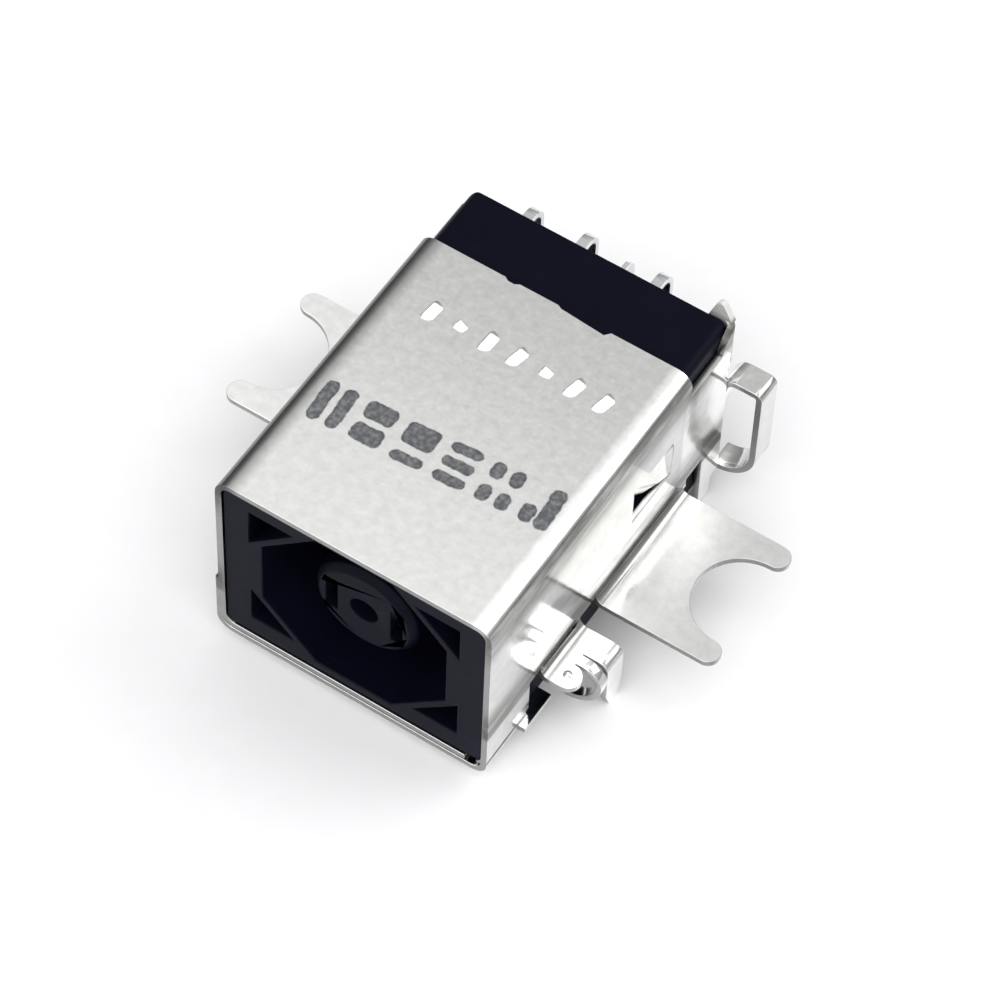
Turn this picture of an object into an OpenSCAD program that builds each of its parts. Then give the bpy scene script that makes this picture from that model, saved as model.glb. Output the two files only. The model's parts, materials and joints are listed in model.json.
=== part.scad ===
// Shielded dc barrel jack for a plug with a 7.4 mm barrel and an eight-sided collar.
// Frame: origin at the centre of the socket mouth, in the plane of the shield's front edge.
// +Y runs into the jack, +Z is up and +X is to the right seen from the plug side.

/* [Shield] */
// Width inside the folded shield
in_w = 12.4; // [12:0.1:14]
// Height inside the folded shield
in_h = 9.3; // [9.1:0.1:11]
// Thickness of the sheet
sheet = 0.3; // [0.2:0.05:0.4]
// Outside radius of the four long folds
fold_r = 0.75; // [0.5:0.05:1]
// Depth of the top panel
top_d = 14.75; // [13.5:0.05:15.5]
// How far the side walls end before the housing's back
side_short = 0.2; // [0.1:0.05:0.3]
// How much further below the socket's axis the bottom lies than the top above it
floor_drop = 0.24; // [0.1:0.02:0.3]
// Depth of the front band that runs right round
band_d = 3.1; // [2.5:0.1:3.5]
// Height of the side walls' top edge behind the top panel
step_z = 3.6; // [3:0.1:4]
// Depth of the bottom tongue
tongue_d = 12; // [8:0.5:14]
// Half width of the bottom tongue
tongue_hw = 4.5; // [3:0.1:5]
// Width of the closing strap that laps the bottom and the left wall at the front
strap_d = 2.3; // [1.8:0.1:2.6]
// Height of the strap's end on the left wall
strap_z = -2.05; // [-3:0.05:-1]
// How far the strap stands out from the left wall it is pressed into
strap_proud = 0.15; // [0.1:0.05:0.25]
// Gap between the two layers of the lap under the bottom
lap_gap = 0.08; // [0.05:0.01:0.2]
// Reach of the bottom's locking tab from the centre plane
lock_x = 6.8; // [6.7:0.05:7.3]
// Rear edge of the locking tab
lock_y1 = 4.4; // [3.8:0.1:4.6]

/* [Ears] */
// Height of the board plane, the underside of ears and tabs
board_z = -3.35; // [-3.6:0.05:-3]
// Front edge of each ear
ear_y0 = 8.1; // [7.6:0.1:8.4]
// Rear edge of each ear
ear_y1 = 14.7; // [14.3:0.1:15.2]
// Reach of each ear from the centre plane
ear_x = 12.05; // [11.6:0.05:12.6]
// Radius of the screw notch
notch_r = 2.17; // [1.9:0.05:2.3]
// Inside radius of the fold between wall and ear
ear_fold_r = 0.4; // [0.2:0.05:0.4]
// Height of the relief slots above the board plane
relief_h = 0.75; // [0.7:0.05:1.2]

/* [Front tabs] */
// Front edge of each tab
tab_y0 = 3.9; // [3.6:0.1:4]
// Rear edge of each tab
tab_y1 = 6.9; // [6.7:0.1:7.2]
// Width of the flat tongue
flat_w = 1.2; // [0.9:0.05:1.3]
// Reach of the flat tongue from the centre plane
flat_x = 8.05; // [7.8:0.05:8.4]
// Width of the spring hook
hook_w = 0.5; // [0.4:0.05:0.6]
// Reach of the spring hook from the centre plane
hook_x = 8.65; // [8.4:0.05:9]
// Outside radius of the spring hook's upper bend
hook_r = 0.95; // [0.7:0.05:1]
// Outside radius of the spring hook's lower curl
curl_r = 1.75; // [1.5:0.05:1.9]
// Gap between the fingers of a tab
finger_gap = 0.06; // [0.05:0.01:0.1]
// Outer face of the solder leg from the centre plane
leg_x = 8.6; // [8.4:0.05:9]
// Reach of every leg and tail below the board plane
leg_len = 2.8; // [2.75:0.05:3.2]

/* [Rear right loop and latch] */
// Outer face of the loop from the centre plane
loop_x = 8.15; // [7.9:0.05:8.5]
// Top of the loop
loop_z = 1.15; // [0.8:0.05:1.5]
// Width of the loop's strip
loop_w = 1.25; // [0.8:0.05:1.4]
// Outside radius of the loop's lower curl
loop_r = 1.95; // [1.6:0.05:2.1]
// Height of the rear latch's tip above the shield's top face
latch_up = 0.6; // [0.3:0.05:0.7]
// Width of the rear latch across the housing's back
latch_w = 1.4; // [1:0.05:1.6]

/* [Side lances] */
// Front end of each lance
lance_y0 = 10.6; // [10.2:0.1:11]
// Rear end of each lance, where it stays attached
lance_y1 = 13.55; // [13.4:0.05:14]
// Lower edge of each lance
lance_z0 = -0.4; // [-0.8:0.05:-0.2]
// Upper edge of each lance
lance_z1 = 1.75; // [1.2:0.05:1.8]
// How far the free end is pushed in
lance_in = 0.85; // [0.5:0.05:0.9]

/* [Housing] */
// Depth of the moulded housing
body_d = 18; // [17.6:0.1:18.6]
// How far the housing's face lies behind the shield's edge
face_in = 0.1; // [0.05:0.05:0.3]
// Gap between housing and shield
fit_gap = 0.03; // [0.02:0.01:0.05]
// Across flats of the eight-sided socket
socket_af = 8.76; // [8.6:0.02:8.9]
// Depth of the socket's floor
floor_y = 11.35; // [11:0.05:11.6]
// Diameter of the centre post
post_d = 4.9; // [4.7:0.05:4.95]
// Distance of the post's face behind the shield's edge
post_y = 0.85; // [0.6:0.05:1.2]
// Diameter of the hole for the plug's centre pin
pin_hole_d = 1.3; // [1.1:0.05:1.4]
// Wall between the socket and the corner pockets
pocket_wall = 0.35; // [0.3:0.05:0.6]
// Depth of the corner pockets
pocket_d = 6; // [4:0.5:8]

/* [Contacts] */
// Thickness of the contact strip
strip_t = 0.25; // [0.2:0.01:0.3]
// Clearance round a contact in its slot
slot_gap = 0.05; // [0.03:0.01:0.08]
// Distance of the two inner leaves from the centre plane
leaf_x = 1.55; // [1.4:0.05:1.6]
// Width of the inner leaves
leaf_w = 1.1; // [0.8:0.05:1.2]
// Width of the outer spring fingers
finger_w = 2.2; // [1.8:0.1:2.6]
// Diameter of the plug's barrel, which the outer fingers grip
barrel_d = 7.4; // [7.3:0.02:7.5]
// Top of the solder tails behind the housing
tail_z = 3.2; // [2.6:0.05:3.4]
// Top of the outer contact's tail
outer_tail_z = 3; // [2.2:0.05:3.4]
// Top of the centre contact's tail
pin_tail_z = 2.7; // [2.4:0.05:3.2]
// Reach of the solder tails behind the housing
tail_out = 2; // [1.8:0.05:2.4]
// Width of the flat solder tails
tail_w = 0.5; // [0.4:0.05:0.7]

/* [Hidden] */
$fn = 64;
eps = 0.2;                              // overlap inside one piece
hw = in_w / 2 + sheet;                  // half width outside the shield
hh = in_h / 2 + sheet;                  // top face of the shield above the socket's axis
low = hh + floor_drop;                  // bottom face of the shield below the axis
side_d = body_d - side_short;           // depth of the side walls
wall_x = in_w / 2;                      // inner face of the side walls
plate_top = board_z + sheet;            // upper face of ears and tabs
leg_z = board_z - leg_len;              // level that every leg and tail reaches
relief_z = board_z + relief_h;          // top of the relief slots
arm_w = (ear_y1 - ear_y0) / 2 - notch_r; // width of an ear's arm
ear_mid = (ear_y0 + ear_y1) / 2;        // centre line of the screw notch
notch_x = ear_x - arm_w / 2;            // centre of the screw notch
flat_in = hw + ear_fold_r + sheet;      // where the flat part of ears and tabs starts
hook_y0 = tab_y0 + flat_w + finger_gap;
leg_y0 = hook_y0 + hook_w + finger_gap;
leg_fold_r = 0.45;                      // outside radius of the solder leg's fold
leg_tip = 0.6;                          // width of a solder leg's tip
leg_taper = 0.75;                       // length of a solder leg's tapered end
rear_leg_y0 = side_d - 1.55;            // front edge of the wall stretch behind the ear
ear_back = 0.3;                         // wall left standing behind the ear
wall_low = sheet + 0.05 - low;          // lower edge of the right wall above the locking tab
lock_y0 = strap_d + 0.1;
rear_leg_w = 0.95;
loop_y0 = side_d + 0.05;
loop_fold_r = 0.4;
neck_h = 0.45;                          // height of the loop's neck behind the wall
latch_fold_r = 0.55;
latch_gap = 0.05;
latch_base = 2.4;                       // foot of the latch
latch_z = hh + latch_up;
latch_taper = 0.95;                     // height of the latch's tapered tip
latch_shoulder = latch_z - latch_taper;
lance_slit = 0.15;
lance_bend = lance_y1 - 0.45;           // where a lance turns inwards
lance_room = 0.15;                      // room round a lance in its pocket
nick_x = -2.1;                          // small nick in the top panel's rear edge
nick_hw = 0.35;
nick_d = 0.12;
recess_x0 = 0.1;                        // shallow recess in the same edge, deepest on its right
recess_x1 = 2.6;
recess_d0 = 0.1;
recess_d1 = 0.25;
edge_slope = 0.2;                       // sideways run of the ends of nick and recess

body_hw = wall_x - fit_gap;
body_hh = in_h / 2 - fit_gap;
body_low = low - sheet - fit_gap;       // underside of the housing below the axis
body_r = fold_r - sheet - fit_gap;      // long edges of the housing
foot_y0 = band_d + 0.2;                 // lower long edges are square behind the front band
rear_r = 0.4;                           // upright rear edges of the housing
socket_r = socket_af / 2 / cos(22.5);   // corner radius of the eight-sided socket
pocket_side = 1.2;                      // wall beside the corner pockets
pocket_top = 0.85;                      // wall above and below them
pocket_x = body_hw - pocket_side;
pocket_z = body_hh - pocket_top;
// Sum of x and z along the sloping side of a corner pocket
pocket_sum = socket_af / 2 * sqrt(2) + pocket_wall * sqrt(2);
post_chamfer = 0.3;
slot_hz = leaf_w / 2 + 0.45;            // half height of the slots in the post
slot_w = 0.56;                          // width of the slots in the post
window_hz = leaf_w / 2 + 0.1;           // half height of the side windows of the post
window_front = 1.6;                     // from the post's face to the windows
window_y0 = post_y + window_front;
window_back = 3;                        // from the end of the windows to the socket's floor
window_y1 = floor_y - window_back;

leaf_touch = barrel_d / 2 - 1.2 + 0.02; // outer face of a bowed leaf, just proud of the post
leaf_y0 = post_y + 0.5;
leaf_lead = 0.9;                        // leading end of a leaf, inside its slot
leaf_lean = 0.1;
bow_y = 6;                              // where leaves and fingers press on the barrel
bow_hl = 0.8;                           // half length of a leaf's bow
bow_rise = 0.12;
blade_run = 2.4;                        // length of the upright blades in the housing
blade_y1 = floor_y + blade_run;
base_t = strip_t;
base_open_x = leaf_x + 0.65;            // half width of the opening in the outer contact's base
finger_in = 3.2;                        // how far the fingers' tips lie behind the post's face
finger_y0 = post_y + finger_in;
finger_lead = 0.5;                      // turned-out tip of a finger
finger_lip = 0.35;                      // inset of its end from the socket's flat
finger_neck = 0.2;                      // inset where tip and arm meet
finger_run = 3.4;                       // from the bow back to the socket's flat
touch_r = barrel_d / 2 - 0.05;          // fingers at rest, just inside the barrel's surface
clip_or = pin_hole_d / 2 - slot_gap;
clip_ir = clip_or - 0.2;
clip_y0 = post_y + 0.8;
clip_y1 = 8.8;
blade_x = clip_or - strip_t / 2;        // the centre contact's blade lies against its clip
blade_hz = 0.3;                         // half height of that blade
blade_grip = 0.25;                      // overlap of blade and clip
blade_ramp = 0.6;                       // where the blade starts to rise behind clip and floor
arm_hz = 0.85;                          // height of its arm, which leaves the housing
arm_run = 2;                            // from the socket's floor to the arm's lower corner
arm_y0 = floor_y + arm_run;
arm_tail = 0.75;                        // width of the arm's tail along the jack
tail_bend_r = 0.6;
tail_tip = 0.4;
outer_tail_x = -4.1;
left_tail_x = -1.42;
right_tail_x = 2.2;
outer_blade_x = -(socket_af / 2 - 0.2);
tail_y = body_d + tail_out;             // back face of the solder tails
outer_blade_z = -0.8;                   // lower edge of the outer contact's blade
low_finger_x = 0.8;

// Extrudes a front-view outline, drawn in x and z, from y0 to y1
module along_y(y0, y1) {
    translate([0, y1, 0])
        rotate([90, 0, 0])
            linear_extrude(y1 - y0) children();
}

// Extrudes a side-view outline, drawn in y and z, from x0 to x1
module along_x(x0, x1) {
    translate([x0, 0, 0])
        rotate([90, 0, 90])
            linear_extrude(x1 - x0) children();
}

// Extrudes a top-view outline, drawn in x and y, from z0 to z1
module along_z(z0, z1) {
    translate([0, 0, z0])
        linear_extrude(z1 - z0) children();
}

// Rectangle between two corners
module rect(x0, y0, x1, y1) {
    translate([x0, y0]) square([x1 - x0, y1 - y0]);
}

module round_rect(half_w, half_h, r) {
    rect(-half_w + r, -half_h, half_w - r, half_h);
    rect(-half_w, -half_h + r, half_w, half_h - r);
    for (sx = [-1, 1], sz = [-1, 1])
        translate([sx * (half_w - r), sz * (half_h - r)]) circle(r);
}

// The shield's outline, taller below the socket's axis than above it
module shield_outline(half_w, half_h, r) {
    translate([0, -floor_drop / 2]) round_rect(half_w, half_h + floor_drop / 2, r);
}

// Quarter of a ring: the section of a right-angled fold, turned by a
module fold(r_out, t, a) {
    rotate(a) intersection() {
        difference() {
            circle(r_out);
            circle(r_out - t);
        }
        square(r_out + 1);
    }
}

// Points of an arc about c, from angle a0 to angle a1 in n steps
function arc(c, r, a0, a1, n) = [for (i = [0:n]) c + r * [cos(a0 + (a1 - a0) * i / n), sin(a0 + (a1 - a0) * i / n)]];
function unit(v) = v / norm(v);
function left_of(v) = [-v[1], v[0]];
// Direction of a path at point i, averaged over its two sides
function heading(p, i) = unit(unit(p[min(i + 1, len(p) - 1)] - p[max(i - 1, 0)]));
function side_pts(p, d) = [for (i = [0:len(p) - 1]) p[i] + d * left_of(heading(p, i))];
function reversed(p) = [for (i = [len(p) - 1:-1:0]) p[i]];

// Strip of thickness t along a path of points
module strip(p, t) {
    polygon(concat(side_pts(p, t / 2), reversed(side_pts(p, -t / 2))));
}

// ---------------------------------------------------------------- shield

// Bent tube: the left wall runs on into the bottom, the right wall stops above it
module shield_tube() {
    difference() {
        along_y(0, side_d) difference() {
            shield_outline(hw, hh, fold_r);
            shield_outline(wall_x, in_h / 2, fold_r - sheet);
        }
        // top panel ends before the side walls
        translate([-2 * hw, top_d, step_z]) cube([4 * hw, side_d, hh]);
        top_edge_cuts();
        // side walls are free of the bottom behind the front band
        for (s = [0, 1]) mirror([s, 0, 0]) {
            translate([tongue_hw, band_d, -low - 1])
                cube([hw, tab_y0 - band_d, low + 1 + relief_z]);
            translate([tongue_hw, tab_y0 - eps, -low - 1])
                cube([hw, ear_y1 + ear_back - tab_y0 + eps, low + 1 + plate_top]);
            translate([tongue_hw, tab_y1, -low - 1])
                cube([hw, ear_y0 - tab_y1, low + 1 + relief_z]);
            translate([tongue_hw, ear_y1 + ear_back, -low - 1])
                cube([hw, rear_leg_y0 - ear_y1 - ear_back, low + 1 + relief_z]);
            translate([tongue_hw, band_d, -low - 1])
                cube([hw, side_d, 1 + floor_drop + fold_r]);
        }
        translate([-hw, tongue_d, -low - 1]) cube([2 * hw, side_d, 1 + fold_r]);
        // bottom right fold is open, so that the lap can close round it
        translate([wall_x - fold_r, -1, -low - 1]) cube([hw, band_d + 1 + eps, 1 + wall_low + low]);
        for (s = [0, 1]) mirror([s, 0, 0])
            translate([wall_x - 1, lance_y0, lance_z0])
                cube([2, lance_y1 - lance_y0, lance_z1 - lance_z0]);
    }
}

// Cuts that leave the top panel's rear edge uneven
module top_edge_cuts() {
    along_z(hh - 1, hh + 1) {
        polygon([
            [nick_x - nick_hw, top_d + eps],
            [nick_x - nick_hw, top_d],
            [nick_x - nick_hw + edge_slope, top_d - nick_d],
            [nick_x + nick_hw - edge_slope, top_d - nick_d],
            [nick_x + nick_hw, top_d],
            [nick_x + nick_hw, top_d + eps]
        ]);
        polygon([
            [recess_x0, top_d + eps],
            [recess_x0, top_d],
            [recess_x0 + edge_slope, top_d - recess_d0],
            [recess_x1 - edge_slope, top_d - recess_d1],
            [recess_x1, top_d],
            [recess_x1, top_d + eps]
        ]);
    }
}

// Closing strap: from the right wall under the bottom and up the left wall
module lap_strap() {
    over = sheet + lap_gap;
    along_y(0, strap_d) intersection() {
        translate([-strap_proud / 2, -over / 2]) difference() {
            shield_outline(hw + strap_proud / 2, hh + over / 2, fold_r);
            shield_outline(hw + strap_proud / 2 - sheet, hh + over / 2 - sheet, fold_r - sheet);
        }
        union() {
            rect(-hw - strap_proud, -low - over, wall_x - eps, strap_z);
            rect(-hw, -low - over, hw, wall_low + eps);
        }
    }
}

// End of the bottom's inner layer, which locks below the right wall
module lock_tab() {
    translate([0, lock_y0, -low]) cube([lock_x, lock_y1 - lock_y0, sheet]);
}

// Tongue of a side lance, pushed in at its front end to lock the housing
module lance() {
    mid = hw - sheet / 2;
    along_z(lance_z0 + lance_slit, lance_z1 - lance_slit) strip([
        [mid, lance_y1 + eps],
        [mid, lance_bend + 0.2],
        [mid - 0.08, lance_bend - 0.2],
        [mid - lance_in, lance_y0 + lance_slit]
    ], sheet);
}

// Fold from the side wall out into the board plane, with a stub of wall and plate
module root_fold(y0, y1) {
    along_y(y0, y1) {
        rect(wall_x, plate_top + ear_fold_r, hw, relief_z + eps);
        translate([hw + ear_fold_r, plate_top + ear_fold_r]) fold(ear_fold_r + sheet, sheet, 180);
        rect(hw + ear_fold_r, board_z, flat_in + eps, plate_top);
    }
}

module ear() {
    root_fold(ear_y0, ear_y1);
    along_z(board_z, plate_top) difference() {
        union() {
            rect(flat_in, ear_y0, notch_x, ear_y1);
            for (y = [ear_y0 + arm_w / 2, ear_y1 - arm_w / 2])
                translate([notch_x, y]) circle(arm_w / 2);
        }
        translate([notch_x, ear_mid]) circle(notch_r);
    }
}

module spring_hook() {
    along_y(hook_y0, hook_y0 + hook_w) {
        rect(flat_in, board_z, hook_x - hook_r, plate_top);
        translate([hook_x - hook_r, plate_top - hook_r]) fold(hook_r, sheet, 0);
        translate([hook_x - curl_r, plate_top - hook_r]) fold(curl_r, sheet, -90);
    }
}

module solder_leg() {
    along_y(leg_y0, tab_y1) {
        rect(flat_in, board_z, leg_x - leg_fold_r, plate_top);
        translate([leg_x - leg_fold_r, plate_top - leg_fold_r]) fold(leg_fold_r, sheet, 0);
        rect(leg_x - sheet, plate_top - leg_fold_r - eps, leg_x, plate_top - leg_fold_r);
    }
    along_x(leg_x - sheet, leg_x) polygon([
        [leg_y0, plate_top - leg_fold_r],
        [leg_y0, leg_z + leg_taper],
        [(leg_y0 + tab_y1 - leg_tip) / 2, leg_z],
        [(leg_y0 + tab_y1 + leg_tip) / 2, leg_z],
        [tab_y1, leg_z + leg_taper],
        [tab_y1, plate_top - leg_fold_r]
    ]);
}

module front_tab() {
    root_fold(tab_y0, tab_y1);
    along_z(board_z, plate_top) {
        rect(flat_in, tab_y0, flat_x - flat_w / 2, tab_y0 + flat_w);
        translate([flat_x - flat_w / 2, tab_y0 + flat_w / 2]) circle(flat_w / 2);
    }
    spring_hook();
    solder_leg();
}

// Wall stretch behind the ear, with its own narrow solder leg
module rear_leg() {
    along_x(wall_x, hw) polygon([
        [rear_leg_y0, relief_z],
        [rear_leg_y0, leg_z + leg_taper],
        [rear_leg_y0 + 0.15, leg_z],
        [rear_leg_y0 + rear_leg_w - 0.15, leg_z],
        [rear_leg_y0 + rear_leg_w, leg_z + leg_taper],
        [rear_leg_y0 + rear_leg_w, -hh],
        [side_d, -hh],
        [side_d, relief_z]
    ]);
}

module loop_leg() {
    neck_z = loop_z - loop_fold_r - sheet;
    // neck behind the side wall
    along_x(wall_x, hw) rect(side_d - eps, neck_z - neck_h, loop_y0 + loop_w, neck_z);
    along_y(loop_y0, loop_y0 + loop_w) {
        rect(wall_x, neck_z - eps, hw, neck_z);
        translate([hw + loop_fold_r, neck_z]) fold(loop_fold_r + sheet, sheet, 90);
        rect(hw + loop_fold_r, loop_z - sheet, loop_x - loop_fold_r, loop_z);
        translate([loop_x - loop_fold_r, loop_z - loop_fold_r]) fold(loop_fold_r, sheet, 0);
        rect(loop_x - sheet, -hh + loop_r - 0.3, loop_x, loop_z - loop_fold_r);
        translate([loop_x - loop_r, -hh + loop_r - 0.3]) fold(loop_r, sheet, -90);
    }
}

// Latch that stands up at the rear right corner and turns in behind the housing
module rear_latch() {
    bend_x = hw - latch_fold_r;
    back_y = body_d + latch_gap;
    bend_y = back_y + sheet - latch_fold_r;
    along_x(wall_x, hw) polygon([
        [bend_y - 0.8, step_z - eps],
        [bend_y - 0.7, step_z + 0.1],
        [bend_y - 0.3, latch_shoulder - 0.3],
        [bend_y, latch_shoulder],
        [bend_y, latch_base],
        [bend_y - 0.8, latch_base]
    ]);
    along_z(latch_base, latch_shoulder) {
        translate([bend_x, bend_y]) fold(latch_fold_r, sheet, 0);
        rect(bend_x - eps, back_y, bend_x, back_y + sheet);
    }
    along_y(back_y, back_y + sheet) polygon([
        [hw - latch_w, latch_base],
        [bend_x, latch_base],
        [bend_x, latch_shoulder],
        [hw - 0.2, latch_shoulder],
        [hw - 0.5, latch_z - 0.35],
        [hw - 0.65, latch_z - 0.08],
        [hw - 0.78, latch_z],
        [hw - 0.92, latch_z - 0.05],
        [hw - latch_w + 0.25, latch_shoulder + 0.4],
        [hw - latch_w, latch_shoulder - 0.35]
    ]);
}

module shield_shell() color([0.78, 0.79, 0.77]) {
    shield_tube();
    lap_strap();
    lock_tab();
    for (s = [0, 1]) mirror([s, 0, 0]) {
        lance();
        ear();
        front_tab();
        rear_leg();
    }
    loop_leg();
    rear_latch();
}

// --------------------------------------------------------------- housing

module housing_block() {
    intersection() {
        union() {
            along_y(face_in, body_d) shield_outline(body_hw, body_hh, body_r);
            along_y(foot_y0, body_d) rect(-body_hw, -body_low, body_hw, -body_low + 2 * body_r);
        }
        along_z(-low, hh) {
            rect(-body_hw, face_in, body_hw, body_d - rear_r);
            rect(-body_hw + rear_r, face_in, body_hw - rear_r, body_d);
            for (s = [-1, 1])
                translate([s * (body_hw - rear_r), body_d - rear_r]) circle(rear_r);
        }
    }
}

module corner_pockets() {
    for (sx = [0, 1], sz = [0, 1]) mirror([sx, 0, 0]) mirror([0, 0, sz])
        along_y(-1, face_in + pocket_d) polygon([
            [pocket_x, pocket_sum - pocket_x],
            [pocket_x, pocket_z],
            [pocket_sum - pocket_z, pocket_z]
        ]);
}

module centre_post() {
    translate([0, floor_y + eps, 0]) rotate([90, 0, 0]) {
        cylinder(d = post_d, h = floor_y + eps - post_y - post_chamfer);
        translate([0, 0, floor_y + eps - post_y - post_chamfer])
            cylinder(d1 = post_d, d2 = post_d - 2 * post_chamfer, h = post_chamfer);
    }
}

// Slot, open at the back, that takes an upright blade and its flat tail
module blade_slot(blade, tail, z_low, z_top) {
    t = strip_t / 2 + slot_gap;
    along_y(floor_y - 1, body_d + 1) rect(blade - t, z_low - slot_gap, blade + t, z_top + slot_gap);
    along_y(floor_y + 0.6, body_d + 1)
        rect(min(blade - t, tail - tail_w / 2 - slot_gap), z_top - strip_t - slot_gap,
             max(blade + t, tail + tail_w / 2 + slot_gap), z_top + slot_gap);
}

module housing() color([0.06, 0.06, 0.08]) difference() {
    union() {
        difference() {
            housing_block();
            along_y(-1, floor_y) rotate(22.5) circle(r = socket_r, $fn = 8);
            corner_pockets();
        }
        centre_post();
    }
    // hole for the plug's centre pin, and the clip's blade behind it
    translate([0, floor_y + 1, 0]) rotate([90, 0, 0]) cylinder(d = pin_hole_d, h = floor_y + 2);
    along_y(clip_y1 - 0.3, body_d + 1)
        rect(blade_x - strip_t / 2 - slot_gap, -blade_hz - slot_gap, blade_x + strip_t / 2 + slot_gap, pin_tail_z + slot_gap);
    // slots and side windows of the two inner leaves
    for (s = [-1, 1]) {
        along_y(-1, floor_y + 1) rect(s * leaf_x - slot_w / 2, -slot_hz, s * leaf_x + slot_w / 2, slot_hz);
        along_y(window_y0, window_y1)
            rect(min(s * leaf_x, s * post_d), -window_hz, max(s * leaf_x, s * post_d), window_hz);
    }
    blade_slot(-leaf_x, left_tail_x, -leaf_w / 2, tail_z);
    blade_slot(leaf_x, right_tail_x, -leaf_w / 2, tail_z);
    blade_slot(outer_blade_x, outer_tail_x, outer_blade_z, outer_tail_z);
    // pockets that the side lances lock into
    for (s = [0, 1]) mirror([s, 0, 0])
        translate([wall_x - lance_in - lance_room, lance_y0 - lance_room, lance_z0 - lance_room])
            cube([2, lance_y1 - lance_y0 + 2 * lance_room, lance_z1 - lance_z0 + 2 * lance_room]);
}

// -------------------------------------------------------------- contacts

// Flat tail: out of the housing's back, round a bend and down through the board
module flat_tail(x, y0, z_top, w) {
    mid_z = z_top - strip_t / 2;
    mid_y = tail_y - strip_t / 2;
    run = concat(
        [[y0, mid_z]],
        arc([mid_y - tail_bend_r, mid_z - tail_bend_r], tail_bend_r, 90, 0, 8),
        [[mid_y, leg_z + leg_taper]]
    );
    along_x(x - w / 2, x + w / 2) strip(run, strip_t);
    along_y(mid_y - strip_t / 2, mid_y + strip_t / 2) polygon([
        [x - w / 2, leg_z + leg_taper + eps],
        [x - w / 2, leg_z + leg_taper],
        [x - tail_tip / 2, leg_z],
        [x + tail_tip / 2, leg_z],
        [x + w / 2, leg_z + leg_taper],
        [x + w / 2, leg_z + leg_taper + eps]
    ]);
}

// Upright blade inside the housing, its upper edge folded over into the tail
module blade_and_tail(blade, tail, z_low, z_top) {
    along_x(blade - strip_t / 2, blade + strip_t / 2)
        rect(floor_y - 0.3, z_low, blade_y1, z_top);
    along_z(z_top - strip_t, z_top)
        rect(min(blade - strip_t / 2, tail - tail_w / 2), floor_y + 0.8,
             max(blade + strip_t / 2, tail + tail_w / 2), blade_y1);
    flat_tail(tail, floor_y + 1.2, z_top, tail_w);
}

// Leaf in a slot of the post: bowed out through the side window
module inner_contact(s, tail) {
    mid = leaf_touch - strip_t / 2;
    run = [
        [s * (leaf_x - leaf_lean), leaf_y0],
        [s * leaf_x, leaf_y0 + leaf_lead],
        [s * (mid - bow_rise), bow_y - bow_hl],
        [s * mid, bow_y],
        [s * (mid - bow_rise), bow_y + bow_hl],
        [s * leaf_x, window_y1 - 0.3],
        [s * leaf_x, floor_y - 0.2]
    ];
    along_z(-leaf_w / 2, leaf_w / 2) strip(run, strip_t);
    blade_and_tail(s * leaf_x, tail, -leaf_w / 2, tail_z);
}

module left_inner_contact() color([0.80, 0.68, 0.38]) inner_contact(-1, left_tail_x);
module right_inner_contact() color([0.80, 0.68, 0.38]) inner_contact(1, right_tail_x);

// Spring finger along a flat of the socket, drawn for the right-hand flat
module outer_finger(w) {
    flat = socket_af / 2 - slot_gap;
    run = [
        [flat - finger_lip, finger_y0],
        [flat - finger_neck, finger_y0 + finger_lead],
        [touch_r + strip_t / 2, bow_y - bow_hl],
        [touch_r + strip_t / 2, bow_y + bow_hl / 2],
        [flat - strip_t / 2 - slot_gap, bow_y + finger_run],
        [flat - strip_t / 2, floor_y - base_t / 2]
    ];
    along_z(-w / 2, w / 2) strip(run, strip_t);
}

// Spring with three fingers on one base plate, which lies on the socket's floor
module outer_contact() color([0.82, 0.82, 0.80]) {
    along_y(floor_y - base_t, floor_y) difference() {
        rotate(22.5) circle(r = socket_r - slot_gap / cos(22.5), $fn = 8);
        circle(d = post_d + 0.4);
        // open at the top, clear of the inner contacts' blades
        translate([-base_open_x, 0]) square([2 * base_open_x, socket_af]);
    }
    outer_finger(finger_w);
    mirror([1, 0, 0]) outer_finger(finger_w);
    rotate([0, 90, 0]) translate([0, 0, low_finger_x]) outer_finger(finger_w - 0.4);
    blade_and_tail(outer_blade_x, outer_tail_x, outer_blade_z, outer_tail_z);
}

// Rolled clip for the plug's centre pin, with one blade that is cut to an elbow
module centre_contact() color([0.80, 0.68, 0.38]) {
    along_y(clip_y0, clip_y1) difference() {
        circle(clip_or);
        circle(clip_ir);
        translate([-clip_or / 4, -clip_or - 0.1]) square([clip_or / 2, clip_or]);
    }
    along_x(blade_x - strip_t / 2, blade_x + strip_t / 2) polygon([
        [clip_y1 - blade_grip, -blade_hz],
        [arm_y0 - 2 * blade_hz, -blade_hz],
        [arm_y0, pin_tail_z - arm_hz],
        [tail_y - arm_tail, pin_tail_z - arm_hz],
        [tail_y - arm_tail, leg_z + leg_taper],
        [tail_y - (arm_tail + tail_tip) / 2, leg_z],
        [tail_y - (arm_tail - tail_tip) / 2, leg_z],
        [tail_y, leg_z + leg_taper],
        [tail_y, pin_tail_z - arm_hz / 2],
        [tail_y - arm_tail / 2, pin_tail_z],
        [floor_y + blade_ramp, pin_tail_z],
        [clip_y1 + blade_ramp, blade_hz],
        [clip_y1 - blade_grip, blade_hz]
    ]);
}

shield_shell();
housing();
outer_contact();
left_inner_contact();
right_inner_contact();
centre_contact();
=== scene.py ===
"""Looks of a board-mount dc power jack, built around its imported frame.

Lengths are in metres. +Y runs into the jack, +Z is up, and the origin is the centre of
the socket's mouth in the plane of the shield's front edge.
"""

import json
import logging
import math
from dataclasses import dataclass, field, replace
from enum import Enum

import bmesh
import bpy
from mathutils import Matrix, Vector
from mathutils.bvhtree import BVHTree

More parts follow.
